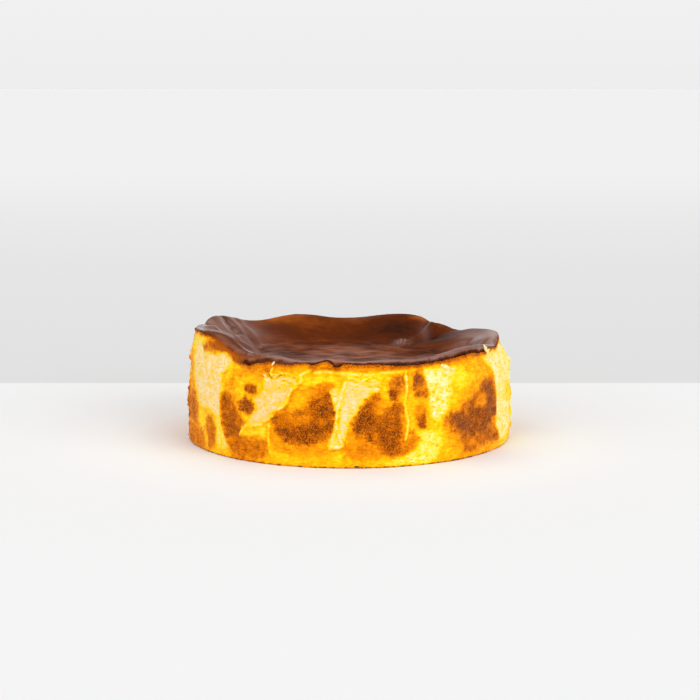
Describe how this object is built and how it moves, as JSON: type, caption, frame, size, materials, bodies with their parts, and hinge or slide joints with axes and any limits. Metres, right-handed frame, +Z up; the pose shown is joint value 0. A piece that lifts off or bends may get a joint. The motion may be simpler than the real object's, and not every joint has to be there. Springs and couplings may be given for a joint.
{
  "type": "basque cheesecake",
  "caption": "Round uncut burnt basque cheesecake: dark skin with a wavy rim over a sunken folded top, and a browned side creased by baking parchment.",
  "frame": {"origin": "middle of the box of the cake's outline, on the flat foot it rests on", "axes": "+Z up; -Y is the side the picture looks at; +X is that picture's right"},
  "size_m": [0.1482, 0.1486, 0.0524],
  "materials": {
    "baked_custard": "soft satin custard, golden with caramel brown patches, under a dark brown glossy burnt skin"
  },
  "bodies": {
    "root": {"cheesecake": "baked_custard"}
  },
  "joints": []
}
